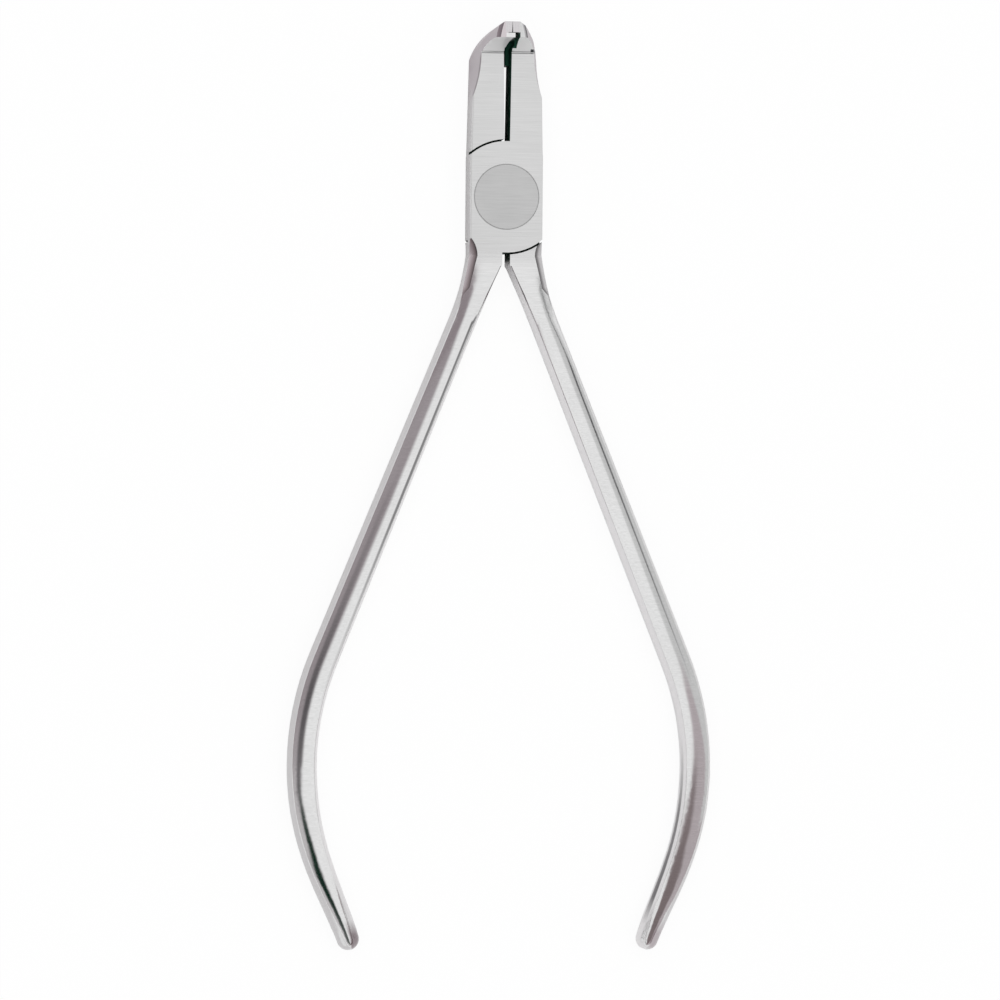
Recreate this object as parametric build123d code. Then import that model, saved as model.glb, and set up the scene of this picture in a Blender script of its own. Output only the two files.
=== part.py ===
from build123d import *
import os
from math import atan, cos, radians, sin, sqrt, tan

# Orthodontic end-cutting pliers with a lap joint, lying on their back.
# X runs across the jaws, +Y from the pivot to the cutting tips, +Z up out of the front face.
# The origin is where the pivot axis meets the flat back face of the joint.
# Lengths are in millimetres, angles in degrees.

# Lap joint
joint_thickness = 6.0
joint_width = 10.2
lap_radius = 7.8
lap_gap = 0.28
lap_clearance = 0.04
edge_break = 0.15
overrun = 1.0

# Slots between the two halves, in front of the lap and behind it
slit_root_width = 0.8
slit_tip_width = 1.12
fork_slot_width = 1.1

# Jaws and beaks, which rise towards the front over the last few millimetres
jaw_end_width = 9.55
ramp_foot_y = 20.2
ramp_hollow = 0.35
shoulder_y = 19.4
nose_radius = 8.3
tip_y = 24.1
tip_flat_width = 2.1
tip_round = 0.3
beak_rise = 5.0
land_length = 2.2
bend_radius = 3.5
foot_groove_radius = 0.14
land_chamfer_width = 0.45
land_chamfer_depth = 0.3

# Long ground bevel along the outer front edge of each jaw
bevel_angle = 10.3
beak_angle = 16.5
bevel_face_width = 7.4
bevel_sweep_radius = 17.5
bevel_nose_radius = 12.0

# Hollow behind the right cutting edge; a low web on each jaw closes it and the slit at the back
chamber_radius = 0.95
chamber_y = 21.6
web_start_y = 18.6
web_height = 2.6

# Carbide blades, brazed on the inner side of each beak
blade_length = 1.5
blade_thickness = 0.95
blade_depth = 6.5
blade_tip_gap = 0.02
blade_root_gap = 0.14

# Safety hold: a wedge on the left beak that leans over the hollow, and its stop on the right beak
pad_reach = 0.4
pad_width = 1.7
pad_depth = 4.6
pad_seat_depth = 0.3
hold_clearance = 0.08
stop_face_x = 0.55
stop_width = 0.55
stop_depth = 1.3
stop_drop = 1.8

# Pivot rivet, pressed in the front half, with a flush round head and a flared tail
head_radius = 4.55
head_depth = 0.8
shank_radius = 2.4
tail_radius = 3.2
tail_depth = 0.9
running_clearance = 0.04
seam_chamfer = 0.08

# Handles: a straight run out from the joint, a long bow and a straight tail
handle_angle = 22.0
handle_cross_y = -3.13
handle_root_y = -9.0
bow_y = -79.75
bow_radius = 39.8
tail_reach = 25.7
root_width = 3.74
bow_width = 4.15
tail_width = 3.0
tail_thickness = 4.6
side_bulge = 0.48
tail_bulge = 0.95
face_crown = 0.45
corner_radius = 0.35
root_crown = 0.04
root_bulge = 0.05
root_blend_length = 9.0

# Facet on each shoulder: an arc into the face, then a line that runs out along the handle
facet_start_y = -5.6
facet_length = 2.7
facet_width = 1.1
facet_steepness = 0.85
facet_turn = 4.5

# Rounded end of the handle
end_cap_length = 1.5

mid_z = joint_thickness / 2
top_z = joint_thickness + beak_rise
blade_root_y = tip_y - blade_length
land_foot_y = tip_y - land_length
half_joint = joint_width / 2
half_fork = fork_slot_width / 2
slope = radians(handle_angle)

# Stretches of the handle's centre line, measured from its root
handle_end_y = bow_y - tail_reach
bow_start_y = bow_y + bow_radius * sin(slope)
root_x = (handle_cross_y - handle_root_y) * tan(slope)
bow_start_x = (handle_cross_y - bow_start_y) * tan(slope)
bow_centre_x = bow_start_x - bow_radius * cos(slope)
run_length = (handle_root_y - bow_start_y) / cos(slope)
bow_length = 2 * slope * bow_radius
tail_length = (bow_y - bow_radius * sin(slope) - handle_end_y) / cos(slope)
widest = run_length + bow_length / 2
handle_length = run_length + bow_length + tail_length


def centre_line(s):
    """Point and heading of the left handle's centre line at length s from its root."""
    if s < run_length:
        heading = slope
        start = Vector(-root_x, handle_root_y)
        ahead = s
    elif s < run_length + bow_length:
        heading = slope - (s - run_length) / bow_radius
        start = Vector(-bow_centre_x - bow_radius * cos(heading), bow_y + bow_radius * sin(heading))
        ahead = 0
    else:
        heading = -slope
        start = Vector(-bow_centre_x - bow_radius * cos(slope), bow_y - bow_radius * sin(slope))
        ahead = s - run_length - bow_length
    travel = Vector(-sin(heading), -cos(heading))
    return start + travel * ahead, heading


def handle_section(s, outer, inner, depth, bulge, crown, radius):
    """Section across the left handle: four bowed sides with rounded corners."""
    point, heading = centre_line(s)
    plane = Plane(
        origin=(point.X, point.Y, mid_z),
        x_dir=(-cos(heading), sin(heading), 0),
        z_dir=(-sin(heading), -cos(heading), 0),
    )
    half = depth / 2
    rim = half - crown
    left = outer - bulge
    right = bulge - inner
    middle = (outer - inner) / 2
    sides = [
        ThreePointArc((left, -rim), (outer, 0), (left, rim)),
        ThreePointArc((left, rim), (middle, half), (right, rim)),
        ThreePointArc((right, rim), (-inner, 0), (right, -rim)),
        ThreePointArc((right, -rim), (middle, -half), (left, -rim)),
    ]
    sketch = make_face(Curve() + sides)
    return plane * fillet(sketch.vertices(), radius)


def plain_section(s, scale=1.0):
    """Section of the handle by its own width and depth at length s."""
    slim = max(0.0, (s - widest) / (handle_length - widest)) ** 2
    grown = min(1.0, s / run_length)
    width = root_width + (bow_width - root_width) * grown + (tail_width - bow_width) * slim
    depth = joint_thickness + (tail_thickness - joint_thickness) * slim
    bulge = side_bulge + (tail_bulge - side_bulge) * slim
    half = scale * width / 2
    return handle_section(s, half, half, scale * depth, scale * bulge, scale * face_crown, scale * corner_radius)


def root_reach(s):
    """Distance from the centre line to the outer and to the inner side near the root."""
    half = (root_width + (bow_width - root_width) * s / run_length) / 2
    outer = half + ((half_joint - root_x) / cos(slope) - half) * (1 - s / root_blend_length) ** 2
    return outer, half


def root_section(s):
    """Section near the root, where the flat joint swells outwards and turns into the barrel shape."""
    t = s / root_blend_length
    outer, half = root_reach(s)
    bulge = root_bulge + (side_bulge - root_bulge) * t
    crown = root_crown + (face_crown - root_crown) * t
    radius = edge_break + (corner_radius - edge_break) * t
    return handle_section(s, outer, half, joint_thickness, bulge, crown, radius)


def handle():
    """The left handle: a blend out of the joint, a straight run, a bow, and a tail with a rounded end."""
    cap_start = handle_length - end_cap_length
    blend = loft([root_section(root_blend_length * t) for t in (0, 1 / 3, 2 / 3, 1)])
    straight = loft([plain_section(root_blend_length), plain_section(run_length)], ruled=True)
    turn_axis = Axis((-bow_centre_x, bow_y, 0), (0, 0, 1))
    bow = revolve(plain_section(run_length), turn_axis, handle_angle)
    tail = loft([plain_section(widest + (cap_start - widest) * t) for t in (0, 0.25, 0.5, 0.75, 1)])
    cap = loft([plain_section(cap_start + end_cap_length * t, sqrt(1 - t * t)) for t in (0, 0.5, 0.8, 0.95)])
    return blend + straight + bow + tail + cap


def edge_rounding(start, end):
    """Slivers that round both long edges of a right-hand side wall, running from start to end."""
    run = Vector(*end) - Vector(*start)
    plane = Plane(origin=(*start, joint_thickness), x_dir=(run.Y, -run.X, 0), z_dir=(run.X, run.Y, 0))
    r = edge_break
    middle = r * (1 - sqrt(0.5))
    sliver = make_face(Curve() + [
        Line((r, -r), (0, -r)),
        ThreePointArc((0, -r), (-middle, -middle), (-r, 0)),
        Line((-r, 0), (-r, r)),
        Line((-r, r), (r, r)),
        Line((r, r), (r, -r)),
    ])
    front = extrude(plane * sliver, run.length)
    return front + front.mirror(Plane.XY.offset(mid_z))


def joint_plate():
    """Full-thickness plate of the lap disc and the handle's root, with its outer edges rounded."""
    root_outer = (half_joint - root_x) / cos(slope)
    outer_y = handle_root_y + root_outer * sin(slope)
    inner_x = -root_x + root_width / 2 * cos(slope)
    inner_y = handle_root_y - root_width / 2 * sin(slope)
    slot_y = inner_y - (half_fork + inner_x) / tan(slope)
    disc = Circle(lap_radius) & Rectangle(joint_width, 2 * lap_radius)
    root = make_face(Polyline(
        (0, 0), (-half_joint, 0), (-half_joint, outer_y), (inner_x, inner_y), (-half_fork, slot_y),
        (-half_fork, 0), close=True,
    ))
    plate = extrude(disc + root, joint_thickness)
    right = edge_rounding((half_joint, -lap_radius), (half_joint, lap_radius))
    return plate - right - right.mirror(Plane.YZ)


def beside_handle(s, inward):
    """Point near the left handle's root, at a distance inward from its outer side."""
    point, heading = centre_line(s)
    reach = root_reach(s)[0] - inward
    return point.X - cos(heading) * reach, point.Y + sin(heading) * reach


def shoulder_facets():
    """Slanted blocks that cut the facets of the left shoulder, front and back."""
    start_x = -half_joint - lap_clearance
    radius = (facet_width ** 2 + facet_length ** 2) / (2 * facet_width)
    turn = atan(facet_length / (radius - facet_width)) / 2
    full = (start_x + facet_width, facet_start_y - facet_length)
    middle = (full[0] - radius + radius * cos(turn), full[1] + radius * sin(turn))
    end = beside_handle(root_blend_length, -lap_clearance)
    outline = make_face(Curve() + [
        ThreePointArc((start_x, facet_start_y), middle, full),
        Polyline(
            full,
            beside_handle(facet_turn, facet_width),
            end,
            (end[0] - joint_width, end[1]),
            (start_x - joint_width, facet_start_y),
            (start_x, facet_start_y),
        ),
    ])
    away = (-cos(slope / 2), sin(slope / 2), -facet_steepness)
    front = extrude(Plane.XY.offset(joint_thickness) * outline, joint_thickness / 2, dir=away)
    return front + front.mirror(Plane.XY.offset(mid_z))


def jaw_plan():
    """Outline of the right jaw seen from the front, from inside the lap disc to the tip."""
    tip_corner = (tip_flat_width / 2, tip_y)
    shoulder = (jaw_end_width / 2, shoulder_y)
    sides = Polyline(
        shoulder,
        (half_joint, lap_radius / 2),
        (half_joint, 0),
        (slit_root_width / 2, 0),
        (slit_root_width / 2, lap_radius),
        (slit_tip_width / 2, ramp_foot_y),
        (slit_tip_width / 2, blade_root_y),
        (blade_root_gap / 2, blade_root_y),
        (blade_tip_gap / 2, tip_y),
        tip_corner,
    )
    nose = RadiusArc(tip_corner, shoulder, nose_radius)
    face = make_face(Curve() + [sides, nose])
    tip = face.vertices().sort_by_distance(tip_corner)[0]
    return fillet(tip, tip_round)


def side_profile():
    """Outline of both jaws seen from the side, as a block across their width."""
    ramp_middle = ((ramp_foot_y + land_foot_y) / 2 + ramp_hollow, joint_thickness + beak_rise / 2 - ramp_hollow)
    edge = [
        Line((0, 0), (tip_y - bend_radius, 0)),
        RadiusArc((tip_y - bend_radius, 0), (tip_y, bend_radius), -bend_radius),
        Line((tip_y, bend_radius), (tip_y, top_z)),
        Line((tip_y, top_z), (land_foot_y, top_z)),
        ThreePointArc((land_foot_y, top_z), ramp_middle, (ramp_foot_y, joint_thickness)),
        Line((ramp_foot_y, joint_thickness), (0, joint_thickness)),
        Line((0, joint_thickness), (0, 0)),
    ]
    return extrude(Plane.YZ * make_face(Curve() + edge), joint_width, both=True)


def bevel_outline():
    """Area outside the bevel's line on the front face: a long sweep, a straight and a curved nose."""
    face_x = bevel_face_width / 2
    far = 3 * joint_width
    reach = 2.2 * (half_joint - face_x)
    run_out = sqrt(2 * bevel_sweep_radius * reach - reach ** 2)
    nose_rise = tip_y + overrun - ramp_foot_y
    nose_x = face_x - bevel_nose_radius + sqrt(bevel_nose_radius ** 2 - nose_rise ** 2)
    return make_face(Curve() + [
        RadiusArc((nose_x, tip_y + overrun), (face_x, ramp_foot_y), bevel_nose_radius),
        RadiusArc((face_x, ramp_foot_y), (face_x + reach, ramp_foot_y - run_out), -bevel_sweep_radius),
        Line((face_x + reach, ramp_foot_y - run_out), (far, ramp_foot_y - run_out)),
        Line((far, ramp_foot_y - run_out), (far, tip_y + overrun)),
        Line((far, tip_y + overrun), (nose_x, tip_y + overrun)),
    ])


def bevel_cutter():
    """Slanted blocks that grind the outer side of the right jaw, steeper below the front face than above it."""
    outline = Plane.XY.offset(joint_thickness) * bevel_outline()
    down = joint_thickness + overrun
    up = beak_rise + overrun
    lower = extrude(outline, down / cos(radians(bevel_angle)), dir=(tan(radians(bevel_angle)), 0, -1))
    upper = extrude(outline, up / cos(radians(beak_angle)), dir=(-tan(radians(beak_angle)), 0, 1))
    return lower + upper


def land_chamfer():
    """Slanted block that breaks the outer edge of the right beak's top."""
    slant = land_chamfer_width / land_chamfer_depth
    top_shift = beak_rise * tan(radians(beak_angle)) + land_chamfer_width + overrun * slant
    outline = Pos(-top_shift, 0, top_z + overrun) * bevel_outline()
    height = overrun + 2 * land_chamfer_depth
    return extrude(outline, height * sqrt(1 + slant ** 2), dir=(slant, 0, -1))


def back_web():
    """Low block on the inner side of the right jaw that closes the slit and the hollow at the back."""
    width = chamber_radius + slit_tip_width / 2
    length = blade_root_y - web_start_y
    centre = Pos(blade_root_gap / 2 + width / 2, web_start_y + length / 2, web_height / 2)
    return centre * Box(width, length, web_height)


def jaw():
    """The right jaw and beak as one full-thickness solid, before its seats are cut."""
    body = extrude(jaw_plan(), top_z) & side_profile()
    body -= bevel_cutter()
    body -= edge_rounding((half_joint, 0), (half_joint, lap_radius / 2))
    body -= edge_rounding((half_joint, lap_radius / 2), (jaw_end_width / 2, shoulder_y))
    body -= land_chamfer()
    body += back_web() & side_profile()
    groove = Pos(0, ramp_foot_y, joint_thickness) * Rot(0, 90, 0) * Cylinder(foot_groove_radius, 3 * joint_width)
    return body - groove


def blade_seat():
    """Block that the right blade fills, at the inner side of the beak."""
    centre_z = top_z - blade_depth / 2
    block = Pos(0, (blade_root_y + tip_y) / 2, centre_z) * Box(2 * blade_thickness, blade_length, blade_depth)
    return block


def hollow():
    """Round hollow behind the right blade, above the web."""
    return Pos(0, chamber_y, web_height + top_z / 2) * Cylinder(chamber_radius, top_z)


def hold_pad_seat():
    """Wedge that the pad fills, from inside the left beak to past the middle at its top."""
    back = blade_root_y - hold_clearance
    inner = -slit_tip_width / 2
    low = top_z - pad_depth
    profile = make_face(Polyline(
        (inner - pad_seat_depth, low), (inner, low), (pad_reach, top_z), (inner - pad_seat_depth, top_z), close=True,
    ))
    return extrude(Plane.XZ.offset(-back) * profile, pad_width)


def hold_stop_seat():
    """Block that the stop fills, on the right beak facing the pad."""
    wall = chamber_radius + pad_seat_depth
    back = blade_root_y - hold_clearance
    centre = Pos((stop_face_x + wall) / 2, back - stop_width / 2, top_z - stop_drop - stop_depth / 2)
    return centre * Box(wall - stop_face_x, stop_width, stop_depth)


def pad_notch():
    """Room in the right beak for the pad when the jaws are closed."""
    wall = chamber_radius + pad_seat_depth / 2
    front = blade_root_y - pad_width - 2 * hold_clearance
    depth = pad_depth + hold_clearance
    centre = Pos(wall / 2, (front + blade_root_y) / 2, top_z - depth / 2)
    return centre * Box(wall, blade_root_y - front, depth)


def rivet_stem(clearance):
    """Shank and flared tail of the rivet, or the hole for them with a clearance all round."""
    shank = shank_radius + clearance
    tail = tail_radius + clearance
    cone_top = tail_depth + clearance
    profile = make_face(Polyline(
        (0, 0), (tail, 0), (shank, cone_top), (shank, joint_thickness), (0, joint_thickness), close=True,
    ))
    return revolve(Plane.XZ * profile, Axis.Z)


def rivet_head(grow):
    """Flush head, with a fine chamfer round its rim, or the counterbore for it."""
    rim = head_radius
    profile = make_face(Polyline(
        (0, joint_thickness - head_depth),
        (rim, joint_thickness - head_depth),
        (rim, joint_thickness - seam_chamfer),
        (rim + grow * seam_chamfer, joint_thickness),
        (0, joint_thickness),
        close=True,
    ))
    return revolve(Plane.XZ * profile, Axis.Z)


def lap_pocket(low, high):
    """Round pocket that makes room for the other half's lap disc."""
    height = high - low
    return Pos(0, 0, low + height / 2) * Cylinder(lap_radius + lap_gap, height)


right_jaw = jaw()
left_jaw = right_jaw.mirror(Plane.YZ)
plate = joint_plate()
left_arm = plate + handle() - shoulder_facets()
right_arm = left_arm.mirror(Plane.YZ)

front_half = left_arm + right_jaw
front_half -= lap_pocket(-overrun, mid_z + lap_clearance / 2)
front_half -= rivet_head(1)
front_half -= rivet_stem(0)
front_half -= blade_seat()
front_half -= hollow()
front_half -= pad_notch()
front_half -= hold_stop_seat()

rear_half = right_arm + left_jaw
rear_half -= lap_pocket(mid_z - lap_clearance / 2, joint_thickness + overrun)
rear_half -= rivet_stem(running_clearance)
rear_half -= blade_seat().mirror(Plane.YZ)
rear_half -= hold_pad_seat()

pivot_rivet = rivet_head(-1) + rivet_stem(0)
right_blade = right_jaw & blade_seat()
left_blade = left_jaw & blade_seat().mirror(Plane.YZ)
left_hold = hold_pad_seat() & side_profile()
right_hold = hold_stop_seat() & side_profile()

nodes = {
    "front_half": front_half,
    "rear_half": rear_half,
    "pivot_rivet": pivot_rivet,
    "right_carbide_blade": right_blade,
    "left_carbide_blade": left_blade,
    "left_wire_hold": left_hold,
    "right_wire_hold": right_hold,
}

os.makedirs("parts", exist_ok=True)
for name, solid in nodes.items():
    export_step(solid, f"parts/{name}.step")
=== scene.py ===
import bpy
from math import radians, sin, tan
from mathutils import Matrix, Vector

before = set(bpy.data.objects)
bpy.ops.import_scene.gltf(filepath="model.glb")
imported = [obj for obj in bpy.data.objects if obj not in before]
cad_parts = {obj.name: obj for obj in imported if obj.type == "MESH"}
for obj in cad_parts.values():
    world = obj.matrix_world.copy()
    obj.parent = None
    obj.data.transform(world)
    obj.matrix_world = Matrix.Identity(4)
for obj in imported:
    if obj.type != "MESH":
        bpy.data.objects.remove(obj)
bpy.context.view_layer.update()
mm = 0.001

# Sockets of Blender's Mix node, by number
factor, firstNumber, secondNumber, firstColour, secondColour = 0, 2, 3, 6, 7
mixedNumber, mixedColour = 0, 2


def linear(code):  # an sRGB hex value as a linear colour
    parts = [int(code[i:i + 2], 16) / 255 for i in (1, 3, 5)]
    return tuple(p / 12.92 if p <= 0.04045 else ((p + 0.055) / 1.055) ** 2.4 for p in parts) + (1.0,)


def add(tree, kind, links=None, **settings):  # one node with its sockets, settings and links
    node = tree.nodes.new(kind)
    for key, value in settings.items():
        setattr(node, key, value)
    for socket, value in (links or {}).items():
        if isinstance(value, bpy.types.NodeSocket):
            tree.links.new(value, node.inputs[socket])
        else:
            node.inputs[socket].default_value = value
    return node


def newMaterial(name):
    material = bpy.data.materials.new(name)
    material.use_nodes = True
    material.node_tree.nodes.clear()
    return material, material.node_tree


def dress(thing, material):  # a CAD node or a stage piece gets its one material
    thing.data.materials.clear()
    thing.data.materials.append(material)


# Camera, where the photograph was taken from: its place in mm, its turns in radians
view = {"place": (-96.0, -44.86, 750.0), "tilt": 0.00325, "turn": -0.12755, "roll": 0.00837,
        "focalPixels": 5363.7, "imagePixels": 1000, "sensor": 36, "nearest": 50.0}

cameraData = bpy.data.cameras.new("camera")
cameraData.sensor_width = view["sensor"]
cameraData.lens = view["focalPixels"] * view["sensor"] / view["imagePixels"]
cameraData.clip_start = view["nearest"] * mm
camera = bpy.data.objects.new("camera", cameraData)
bpy.context.scene.collection.objects.link(camera)
camera.location = Vector(view["place"]) * mm
turned = Matrix.Rotation(view["turn"], 3, "Y") @ Matrix.Rotation(view["tilt"], 3, "X")
camera.rotation_euler = (turned @ Matrix.Rotation(view["roll"], 3, "Z")).to_euler()
bpy.context.scene.camera = camera
bpy.context.scene.view_settings.view_transform = "Standard"
print("camera set")


# World and lamp: an even white tent, which the eye and polished metal see as plain white, and a soft lamp
# overhead, whose size and place are in metres
studio = {"colour": "#ffffff", "tentLight": 0.55, "tentSeen": 1.0,
          "lampPower": 13.0, "lampSize": 1.6, "lampPlace": (0, -0.04, 1.5)}

world = bpy.data.worlds.new("white tent")
bpy.context.scene.world = world
world.use_nodes = True
tree = world.node_tree
tree.nodes.clear()
rays = add(tree, "ShaderNodeLightPath").outputs
seen = rays["Is Camera Ray"]
for ray in ("Is Glossy Ray", "Is Transmission Ray"):
    seen = add(tree, "ShaderNodeMath", {0: seen, 1: rays[ray]}, operation="MAXIMUM").outputs[0]
colour = linear(studio["colour"])
dim = add(tree, "ShaderNodeBackground", {"Color": colour, "Strength": studio["tentLight"]})
white = add(tree, "ShaderNodeBackground", {"Color": colour, "Strength": studio["tentSeen"]})
mix = add(tree, "ShaderNodeMixShader", {0: seen, 1: dim.outputs[0], 2: white.outputs[0]})
add(tree, "ShaderNodeOutputWorld", {"Surface": mix.outputs[0]})

lampData = bpy.data.lights.new("overhead lamp", "AREA")
lampData.shape = "SQUARE"
lampData.size = studio["lampSize"]
lampData.energy = studio["lampPower"]
lamp = bpy.data.objects.new("overhead lamp", lampData)
bpy.context.scene.collection.objects.link(lamp)
lamp.location = studio["lampPlace"]
lamp.visible_glossy = False


# Pale floor, almost white to the eye and still holding the tool's shadow
floorLook = {"side": 6000, "drop": 0.02, "colour": "#fcfcfc", "glow": "#ffffff", "strength": 1.0,
             "lift": 0.92}  # lift is how much of the paper's glow the eye sees

bpy.ops.mesh.primitive_plane_add(size=floorLook["side"] * mm, location=(0, 0, -floorLook["drop"] * mm))
floor = bpy.context.object
floor.name = "floor"
paper, tree = newMaterial("white paper")
rays = add(tree, "ShaderNodeLightPath").outputs
matt = add(tree, "ShaderNodeBsdfDiffuse", {"Color": linear(floorLook["colour"])})
glow = add(tree, "ShaderNodeEmission", {
    "Color": linear(floorLook["glow"]), "Strength": floorLook["strength"]})
seen = add(tree, "ShaderNodeMath", {0: rays["Is Camera Ray"], 1: floorLook["lift"]}, operation="MULTIPLY")
mix = add(tree, "ShaderNodeMixShader", {0: seen.outputs[0], 1: matt.outputs[0], 2: glow.outputs[0]})
add(tree, "ShaderNodeOutputMaterial", {"Surface": mix.outputs[0]})
dress(floor, paper)


# A low white light panel, as polished metal sees it, with grey cards hung along both handles
panel = {"height": 18, "length": 900, "width": 760, "centre": -60, "white": "#ffffff", "strength": 1.0}
handleLine = {"angle": 22, "bowY": -79.75, "bowRadius": 39.8, "bowCentre": -11.97}
farOut = 400  # mm, past the panel's side
halfWay = 0.5  # a card's edge as written lies half way through its soft edge

bpy.ops.mesh.primitive_plane_add(size=1, location=(0, 0, 0))
strip = bpy.context.object
strip.name = "light_panel"
bpy.ops.object.mode_set(mode="EDIT")
bpy.ops.mesh.select_all(action="SELECT")
bpy.ops.transform.resize(value=(panel["width"] * mm, panel["length"] * mm, 1))
bpy.ops.transform.translate(value=(0, panel["centre"] * mm, panel["height"] * mm))
bpy.ops.object.mode_set(mode="OBJECT")
cloth, tree = newMaterial("lit panel cloth")

# How far a point of the panel lies beside each handle's centre line, worked out step by step in mm.
# The line is straight, goes round the bow, and is straight again; both handles mirror each other.
slope = radians(handleLine["angle"])
place = add(tree, "ShaderNodeTexCoord").outputs["Object"]
metres = add(tree, "ShaderNodeSeparateXYZ", {0: place}).outputs
steps = {"X": metres["X"], "Y": metres["Y"]}
for name, operation, first, second in (
        ("across", "DIVIDE", "X", mm),
        ("along", "DIVIDE", "Y", mm),
        ("pastMiddle", "SUBTRACT", "along", handleLine["bowY"]),
        ("fromMiddle", "ABSOLUTE", "pastMiddle", 0),
        ("inBow", "MINIMUM", "fromMiddle", handleLine["bowRadius"] * sin(slope)),
        ("squared", "POWER", "inBow", 2),
        ("leftOver", "SUBTRACT", handleLine["bowRadius"] ** 2, "squared"),
        ("arc", "SQRT", "leftOver", 0),
        ("pastBow", "SUBTRACT", "fromMiddle", "inBow"),
        ("fall", "MULTIPLY", "pastBow", tan(slope)),
        ("bulge", "ADD", "arc", handleLine["bowCentre"]),
        ("centreLine", "SUBTRACT", "bulge", "fall"),
        ("left", "ADD", "across", "centreLine"),
        ("right", "SUBTRACT", "across", "centreLine")):
    feeds = {0: steps.get(first, first), 1: steps.get(second, second)}
    steps[name] = add(tree, "ShaderNodeMath", feeds, operation=operation).outputs[0]


def follow(points):  # a value that changes along the tool, given in mm from the pivot
    if not isinstance(points, dict):
        return points
    stations = sorted(points.items(), reverse=True)
    total = stations[0][1]
    for (startY, startValue), (endY, endValue) in zip(stations, stations[1:]):
        stretch = {"Value": steps["along"], "From Min": startY, "From Max": endY}
        stretch["To Max"] = endValue - startValue
        change = add(tree, "ShaderNodeMapRange", stretch).outputs[0]
        total = add(tree, "ShaderNodeMath", {0: total, 1: change}, operation="ADD").outputs[0]
    return total


def hang(below, card):  # lays one card over what hangs already, with soft edges
    beside, soft, cover = steps[card["beside"]], follow(card["soft"]), follow(card["strength"])
    for outer, inner in ((beside, follow(card["from"])), (follow(card["to"]), beside)):
        inside = add(tree, "ShaderNodeMath", {0: outer, 1: inner}, operation="SUBTRACT").outputs[0]
        share = add(tree, "ShaderNodeMath", {0: inside, 1: soft}, operation="DIVIDE").outputs[0]
        edge = add(tree, "ShaderNodeMath", {0: share, 1: halfWay}, operation="ADD", use_clamp=True)
        covers = {0: cover, 1: edge.outputs[0]}
        cover = add(tree, "ShaderNodeMath", covers, operation="MULTIPLY").outputs[0]
    tones = {factor: cover, firstColour: below, secondColour: linear(card["tone"])}
    return add(tree, "ShaderNodeMix", tones, data_type="RGBA").outputs[mixedColour]


# Each card lies from one edge to another, in mm to the right of the handle's centre line, or to the left
# where the number is below zero. A value written for several heights changes evenly between them.
cards = {
    "wideMauve": {
        "beside": "left", "tone": "#9c9296", "soft": {-8: 0.8, -12: 1, -13.2: 2, -14.6: 3, -17.4: 4},
        "from": {-12: -45, -21: -70},
        "to": {-8: -12, -9: -0.9, -10.6: -0.7, -13.2: -1.2, -14.6: -1.8, -17.4: -1.5, -21: 0.5, -28: 1.5,
               -42: 2, -56: 1.5, -70: 0.5, -79: -0.5, -85: -3, -92: 0.5, -103: -1},
        "strength": {-8: 0, -9: 1, -17: 1, -21: 0.91, -28: 0.87, -42: 0.93, -70: 0.93, -79: 0.8, -85: 0.61,
                     -92: 0.52}},
    "darkMiddle": {
        "beside": "left", "tone": "#484648", "soft": 3.0,
        "from": {-42: -8.5, -56: -10, -70: -7.5, -79: -8, -85: -10},
        "to": {-42: -2.5, -56: -1.5, -70: 0, -79: -0.5, -85: -4},
        "strength": {-35: 0, -42: 0.2, -56: 0.45, -70: 0.85, -79: 0.75, -85: 0.65, -91: 0}},
    "greenTail": {
        "beside": "left", "tone": "#04281b", "soft": {-90: 2, -98: 4},
        "from": {-86: -7, -95: -8.5, -98: -12, -103: -19},
        "to": {-86: -3, -91.6: -0.6, -98.6: -2.2, -106: -0.5},
        "strength": {-81: 0, -89: 0.93, -94: 1, -104: 1, -110: 0.75}},
    "tailEnd": {
        "beside": "left", "tone": "#857a7c", "soft": 12, "from": 28, "to": farOut,
        "strength": {-101: 0, -103: 1}},
    "paleGrey": {
        "beside": "right", "tone": "#dadada", "soft": 2.0,
        "from": {-14: 4.5, -28: 4, -42: 3.5, -56: 2, -66: 1, -103: 0}, "to": farOut,
        "strength": {-9: 0, -13: 1}},
    "thinDarkLine": {
        "beside": "right", "tone": "#1c1d20", "soft": 0.8,
        "from": {-9: 5, -11.8: 5, -13.2: 7, -14.6: 10.5, -17.4: 15.5, -21: 13, -28: 11.8, -42: 10.8,
                 -56: 9.6, -68: 8.8},
        "to": {-9: 6.5, -11.8: 6.5, -13.2: 9.5, -14.6: 13.5, -17.4: 21, -21: 17.5, -28: 16, -42: 13.8,
               -56: 11.5, -68: 10.2},
        "strength": {-9: 0, -12: 1, -42: 0.95, -56: 0.85, -67: 0}},
    "wideRose": {
        "beside": "right", "tone": "#bfb5b8", "soft": 3.0,
        "from": {-64: 3, -70: -2, -79: -3, -85: -9, -92: -15, -98: -11, -103: -9},
        "to": {-64: 6, -70: 6.5, -79: 15, -92: 16, -98: 200, -103: 200},
        "strength": {-62: 0, -70: 0.95}},
    "roseCore": {
        "beside": "right", "tone": "#867a7b", "soft": 4.0,
        "from": {-79: -5, -85: -7, -92: -14, -98: -10, -103: -8},
        "to": {-79: 1, -85: 0, -92: 1, -98: 8, -103: 12},
        "strength": {-75: 0, -79: 0.25, -83: 0.85, -92: 1}},
}
bare = add(tree, "ShaderNodeRGB")
bare.outputs[0].default_value = linear(panel["white"])
hung = bare.outputs[0]
for card in cards.values():
    hung = hang(hung, card)
glow = add(tree, "ShaderNodeEmission", {"Color": hung, "Strength": panel["strength"]})
add(tree, "ShaderNodeOutputMaterial", {"Surface": glow.outputs[0]})
dress(strip, cloth)
strip.visible_camera = False
strip.visible_diffuse = False
strip.visible_shadow = False
strip.visible_transmission = False
print("light, floor and panel ready")


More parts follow.
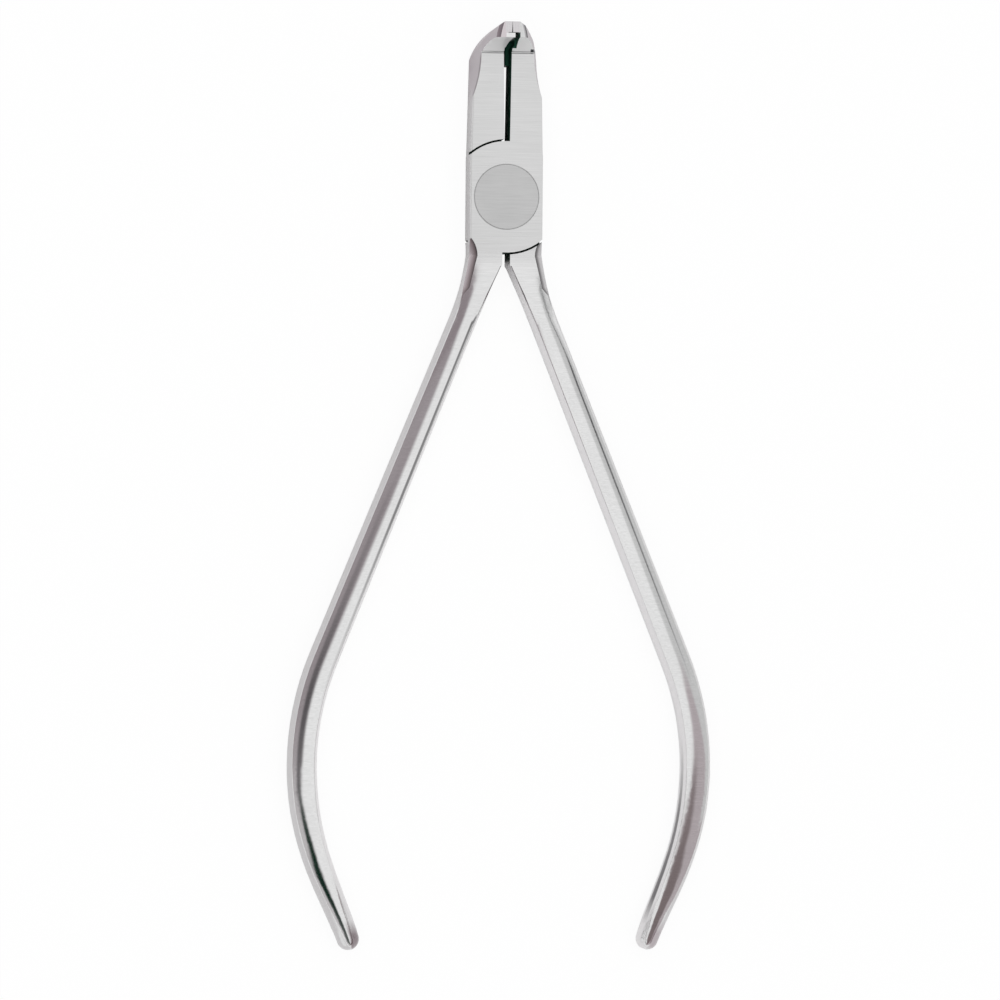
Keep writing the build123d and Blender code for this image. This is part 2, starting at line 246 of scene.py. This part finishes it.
# Metals: fine brush marks mixed with broad patches decide the tone and the roughness
brush = {"markShare": 0.75, "patchShare": 0.25, "span": (0.3, 0.7), "markDetail": 4.0, "markRoughness": 0.6,
         "patchDetail": 2.0}


def brushedMetal(name, finish):  # metal whose fine brushing runs along the longest direction of the grain
    material, tree = newMaterial(name)
    place = add(tree, "ShaderNodeTexCoord").outputs
    grain = [1 / (length * mm) for length in finish["grain"]]  # mm of one brush mark along x, y and z
    spread = add(tree, "ShaderNodeMapping", {"Vector": place["Object"], "Scale": grain})
    fine = add(tree, "ShaderNodeTexNoise", {
        "Vector": spread.outputs[0], "Scale": 1.0, "Detail": brush["markDetail"],
        "Roughness": brush["markRoughness"]}).outputs["Fac"]
    broad = add(tree, "ShaderNodeTexNoise", {
        "Vector": place["Object"], "Scale": 1 / (finish["patch"] * mm),
        "Detail": brush["patchDetail"]}).outputs["Fac"]
    marks = add(tree, "ShaderNodeMath", {0: fine, 1: brush["markShare"]}, operation="MULTIPLY").outputs[0]
    shares = {0: broad, 1: brush["patchShare"], 2: marks}
    blend = add(tree, "ShaderNodeMath", shares, operation="MULTIPLY_ADD").outputs[0]
    tone = add(tree, "ShaderNodeValToRGB", {"Fac": blend})
    for stop, position, code in zip(tone.color_ramp.elements, brush["span"], finish["tones"]):
        stop.position = position
        stop.color = linear(code)
    spans = dict(zip(("From Min", "From Max", "To Min", "To Max"), brush["span"] + finish["roughness"]))
    rough = add(tree, "ShaderNodeMapRange", {"Value": blend, **spans})
    colour, metallic, roughness, depth = tone.outputs["Color"], 1.0, rough.outputs[0], finish["relief"]
    if "zones" in finish:
        colour, metallic, roughness, depth = layZones(tree, place, finish["zones"], colour, roughness, depth)
    distance = finish["reliefDepth"] * mm
    relief = add(tree, "ShaderNodeBump", {"Height": fine, "Strength": depth, "Distance": distance})
    shader = add(tree, "ShaderNodeBsdfPrincipled", {
        "Base Color": colour, "Metallic": metallic, "Roughness": roughness, "Normal": relief.outputs[0]})
    add(tree, "ShaderNodeOutputMaterial", {"Surface": shader.outputs[0]})
    return material


# Zones of the two halves, laid over each other in this order; many of them paint shade or reflections into
# the steel's colour. Each pair runs from no cover to full cover.
# In mm: along the tool from the pivot, across it to the right, off its middle line to either side, up from
# its back, and reach from the pivot's axis. Parts of the surface's direction, up to 1: level is up or down,
# rise up, sideways left or right, outward right, and forward to the tips. Towards is across times outward,
# below zero where a surface faces the middle line. "in" keeps a zone inside others, "any" joins others, and
# shades run down between the two heights of depth.
halfZones = {
    "left": {"across": [(0.01, -0.01)]},
    "right": {"across": [(-0.01, 0.01)]},

    # Belted faces of the head, a shade darker than the polished handles
    "belted": {"along": [(-10.0, -7.5)], "tone": "#f1f1f1", "blend": "MULTIPLY"},
    "polished": {"along": [(-7.5, -10.0)], "roughness": 0.17},

    # Side walls, and the sides of the handles that face each other: painted shade, greyer than the faces for
    # the dim floor these sides reflect, and a little lighter where they face the middle line
    "flankShade": {"level": [(0.62, 0.5)], "along": [(19.0, 18.5)], "tone": "#c0bebf"},
    "rim": {"in": ["flankShade", "polished"], "tone": "#c8c6c7"},
    "inner": {"in": ["rim"], "towards": [(0.0, -0.1)], "tone": "#dcdadb"},

    # Ground facets on the shoulders, with painted shade that is darkest at their upper edge and fades
    # towards their foot
    "facet": {"level": [(0.9, 0.85), (0.5, 0.6)], "sideways": [(0.3, 0.4)],
              "along": [(-5.4, -5.5), (-16.0, -14.0)]},
    "leftFacetShade": {"in": ["facet", "left"], "depth": (6.0, 5.0),
                  "shades": {0.0: "#423d3e", 0.35: "#867b7d", 0.7: "#b0a7aa", 1.0: "#c4bec0"}},
    "rightFacetShade": {"in": ["facet", "right"], "depth": (6.0, 5.0),
                   "shades": {0.0: "#5d5b5c", 0.25: "#7f7d7e", 0.5: "#bdbbbc", 1.0: "#cfcdce"}},

    # Right-hand sides of both rounded handle ends, a shade darker than the rest: painted shade
    "tip": {"along": [(-101.2, -103.2)], "outward": [(0.1, 0.4)]},
    "leftTipShade": {"in": ["tip", "left"], "tone": "#8f8588"},
    "rightTipShade": {"in": ["tip", "right"], "tone": "#b5adb0"},

    # Ramps that climb to the beaks, ground matt
    "ramp": {"along": [(20.3, 20.4)], "level": [(0.9, 0.8)], "forward": [(-0.3, -0.4)], "tone": "#ececec",
             "roughness": 0.6},

    # Painted shade in fine dark lines: along the left handle's inner edge, low on the right tail, and in the
    # crease at the ramps' foot
    "arrisShadeLine": {"in": ["left"], "level": [(0.93, 0.917), (0.885, 0.895)], "towards": [(0.0, -0.1)],
              "along": [(-13.0, -17.0), (-72.0, -45.0)], "tone": "#848384"},
    "lowShadeLine": {"in": ["inner", "right"], "up": [(3.4, 3.6), (4.7, 4.5)],
                "along": [(-75.0, -86.0), (-102.0, -98.0)], "tone": "#6f6d6f"},
    "footShadeLine": {"along": [(20.05, 20.07), (20.35, 20.33)], "up": [(5.9, 5.95)], "level": [(0.97, 0.9)],
             "off": [(4.2, 2.0)], "tone": "#5c5e5e"},

    # Ground bevels round both jaws, rougher, with a painted mauve-grey reflection as their tone and painted
    # shade along the left one's inner edge
    "bevel": {"off": [(1.85, 2.0)], "level": [(0.6, 0.5)], "sideways": [(0.4, 0.5)], "along": [(13.0, 15.0)],
              "tone": "#b3acb0", "roughness": 0.34},
    "bevelEdgeShade": {"in": ["bevel", "left"], "up": [(5.3, 5.4)], "along": [(20.3, 19.3)], "tone": "#878084"},

    # Painted reflection on the top of the left beak, painted shade fading across the crests beside both
    # tops, and a painted shadow in the small corner of the right ramp
    "leftTopReflection": {"in": ["left"], "up": [(10.9, 10.95)], "level": [(0.97, 0.99)], "tone": "#cfc7ca"},
    "crest": {"up": [(9.0, 9.1)], "level": [(0.97, 0.92), (0.45, 0.55)], "sideways": [(0.35, 0.45)]},
    "leftCrestShade": {"in": ["crest", "left"], "depth": (11.0, 10.45),
                  "shades": {0.0: "#6f666b", 0.4: "#7f757a", 1.0: "#9a9095"}},
    "rightCrestShade": {"in": ["crest", "right"], "depth": (11.0, 10.45),
                   "shades": {0.0: "#e0e0e0", 0.3: "#b0aeb0", 0.6: "#666567", 0.85: "#666567",
                              1.0: "#a09ea0"}},
    "cornerShadow": {"in": ["right"], "off": [(3.1, 3.2)], "along": [(20.25, 20.3), (20.75, 20.6)],
               "up": [(6.7, 6.6)], "tone": "#48494b"},

    # Slot between the jaws, lap seams and fork: painted dark green-black shade, and not metal, since these
    # hollows lie in shadow
    "besideSlot": {"off": [(1.23, 1.2)], "along": [(7.0, 8.0), (22.67, 22.65)]},
    "walls": {"in": ["besideSlot"], "level": [(0.2, 0.12)], "forward": [(-0.6, -0.3)]},
    "web": {"in": ["besideSlot"], "up": [(3.0, 2.95)], "rise": [(0.4, 0.6)]},
    "notch": {"in": ["besideSlot"], "along": [(20.45, 20.47)], "up": [(6.6, 6.55)], "level": [(0.4, 0.6)],
              "forward": [(-0.6, -0.3)]},
    "seamWall": {"level": [(0.3, 0.2)]},
    "seamFloor": {"up": [(3.2, 3.15)]},
    "seam": {"any": ["seamWall", "seamFloor"], "reach": [(7.6, 7.62), (8.25, 8.23)], "off": [(5.05, 5.0)]},
    "fork": {"off": [(0.9, 0.8)], "level": [(0.3, 0.2)], "along": [(-7.5, -7.55), (-9.1, -8.7)]},
    "slotShade": {"any": ["walls", "web", "notch", "seam", "fork"], "tone": "#062a1e", "roughness": 0.7},
    "slotShadeGreen": {"any": ["walls", "web", "notch"], "tone": "#084735"},
}
polishedRelief = 0.4  # part of the brush marks' depth that polishing leaves


def layZones(tree, place, zones, colour, roughness, depth):  # finishes, painted shade and painted reflections by where a point is and how it faces
    at = add(tree, "ShaderNodeSeparateXYZ", {0: place["Object"]}).outputs
    facing = add(tree, "ShaderNodeSeparateXYZ", {0: place["Normal"]}).outputs
    flat = add(tree, "ShaderNodeCombineXYZ", {0: at["X"], 1: at["Y"]}).outputs[0]
    distance = add(tree, "ShaderNodeVectorMath", {0: flat}, operation="LENGTH").outputs["Value"]
    measures = {"outward": facing["X"], "forward": facing["Y"], "rise": facing["Z"]}
    for name, value in (("across", at["X"]), ("along", at["Y"]), ("up", at["Z"]), ("reach", distance)):
        measures[name] = add(tree, "ShaderNodeMath", {0: value, 1: mm}, operation="DIVIDE").outputs[0]
    for name, signed in (("off", "across"), ("level", "rise"), ("sideways", "outward")):
        measures[name] = add(tree, "ShaderNodeMath", {0: measures[signed]}, operation="ABSOLUTE").outputs[0]
    sides = {0: measures["across"], 1: measures["outward"]}
    measures["towards"] = add(tree, "ShaderNodeMath", sides, operation="MULTIPLY").outputs[0]

    covers = {}
    for name, zone in zones.items():
        ramps = [(measures[key], pair) for key in measures for pair in zone.get(key, ())]
        limits = [covers[other] for other in zone.get("in", ())]
        for value, (none, full) in ramps:
            span = {"Value": value, "From Min": none, "From Max": full}
            limits.append(add(tree, "ShaderNodeMapRange", span).outputs[0])
        parts = [("MAXIMUM", covers[other]) for other in zone.get("any", ())]
        parts += [("MULTIPLY", limit) for limit in limits]
        cover = parts[0][1]
        for operation, part in parts[1:]:
            cover = add(tree, "ShaderNodeMath", {0: cover, 1: part}, operation=operation).outputs[0]
        covers[name] = cover

        tone = linear(zone["tone"]) if "tone" in zone else None
        if "shades" in zone:
            top, bottom = zone["depth"]
            span = {"Value": measures["up"], "From Min": top, "From Max": bottom}
            down = add(tree, "ShaderNodeMapRange", span)
            fade = add(tree, "ShaderNodeValToRGB", {"Fac": down.outputs[0]})
            stops = fade.color_ramp.elements
            for position, code in zone["shades"].items():
                stop = stops[0] if position == 0 else stops[-1] if position == 1 else stops.new(position)
                stop.color = linear(code)
            tone = fade.outputs["Color"]
        if tone is not None:
            tones = {factor: cover, firstColour: colour, secondColour: tone}
            mix = add(tree, "ShaderNodeMix", tones, data_type="RGBA", blend_type=zone.get("blend", "MIX"))
            colour = mix.outputs[mixedColour]
        if "roughness" in zone:
            levels = {factor: cover, firstNumber: roughness, secondNumber: zone["roughness"]}
            roughness = add(tree, "ShaderNodeMix", levels, data_type="FLOAT").outputs[mixedNumber]

    # Where the slot's painted shade covers the surface, it is not metal
    metallic = add(tree, "ShaderNodeMath", {0: 1.0, 1: covers["slotShade"]}, operation="SUBTRACT").outputs[0]
    levels = {factor: covers["polished"], firstNumber: depth, secondNumber: depth * polishedRelief}
    depth = add(tree, "ShaderNodeMix", levels, data_type="FLOAT").outputs[mixedNumber]
    return colour, metallic, roughness, depth


# Satin stainless steel: flat faces belted across the tool, so faint level lines catch the light
satinSteel = brushedMetal("satin stainless steel", {
    "grain": (6.0, 0.14, 0.14), "patch": 9.0, "tones": ("#d6d6d6", "#e6e6e6"),
    "roughness": (0.26, 0.36), "relief": 0.25, "reliefDepth": 0.004, "zones": halfZones})
# Ground stainless steel: the small wedge is ground all over and not polished, so it stays pale and matt
groundSteel = brushedMetal("ground stainless steel", {
    "grain": (1.5, 0.06, 0.06), "patch": 2.0, "tones": ("#dedede", "#ececec"),
    "roughness": (0.5, 0.6), "relief": 0.25, "reliefDepth": 0.003})
# Steel of the stop, painted near-black green: painted shade of the dark hollow between the blades
shadePaintedSteel = brushedMetal("steel painted as shade", {
    "grain": (0.5, 0.06, 0.06), "patch": 1.0, "tones": ("#1c2622", "#333c38"),
    "roughness": (0.45, 0.6), "relief": 0.3, "reliefDepth": 0.003})
# Faced rivet steel: belted with the joint, a shade greyer because the rivet is softer steel
rivetSteel = brushedMetal("faced rivet steel", {
    "grain": (4.0, 0.16, 0.16), "patch": 5.0, "tones": ("#b9b9b9", "#c7c7c7"),
    "roughness": (0.30, 0.40), "relief": 0.25, "reliefDepth": 0.004})
# Ground tungsten carbide: very fine grinding lines along the blade, smooth and greyer than steel
groundCarbide = brushedMetal("ground tungsten carbide", {
    "grain": (0.05, 1.5, 0.05), "patch": 2.0, "tones": ("#c9c6c8", "#d6d3d5"),
    "roughness": (0.22, 0.30), "relief": 0.15, "reliefDepth": 0.002})
print("metals ready")

# The right wire hold's near-black green steel is painted shade
finishes = {"front_half": satinSteel, "rear_half": satinSteel, "pivot_rivet": rivetSteel,
            "right_carbide_blade": groundCarbide, "left_carbide_blade": groundCarbide,
            "left_wire_hold": groundSteel, "right_wire_hold": shadePaintedSteel}
for name, metal in finishes.items():
    dress(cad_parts[name], metal)
print("nodes dressed")
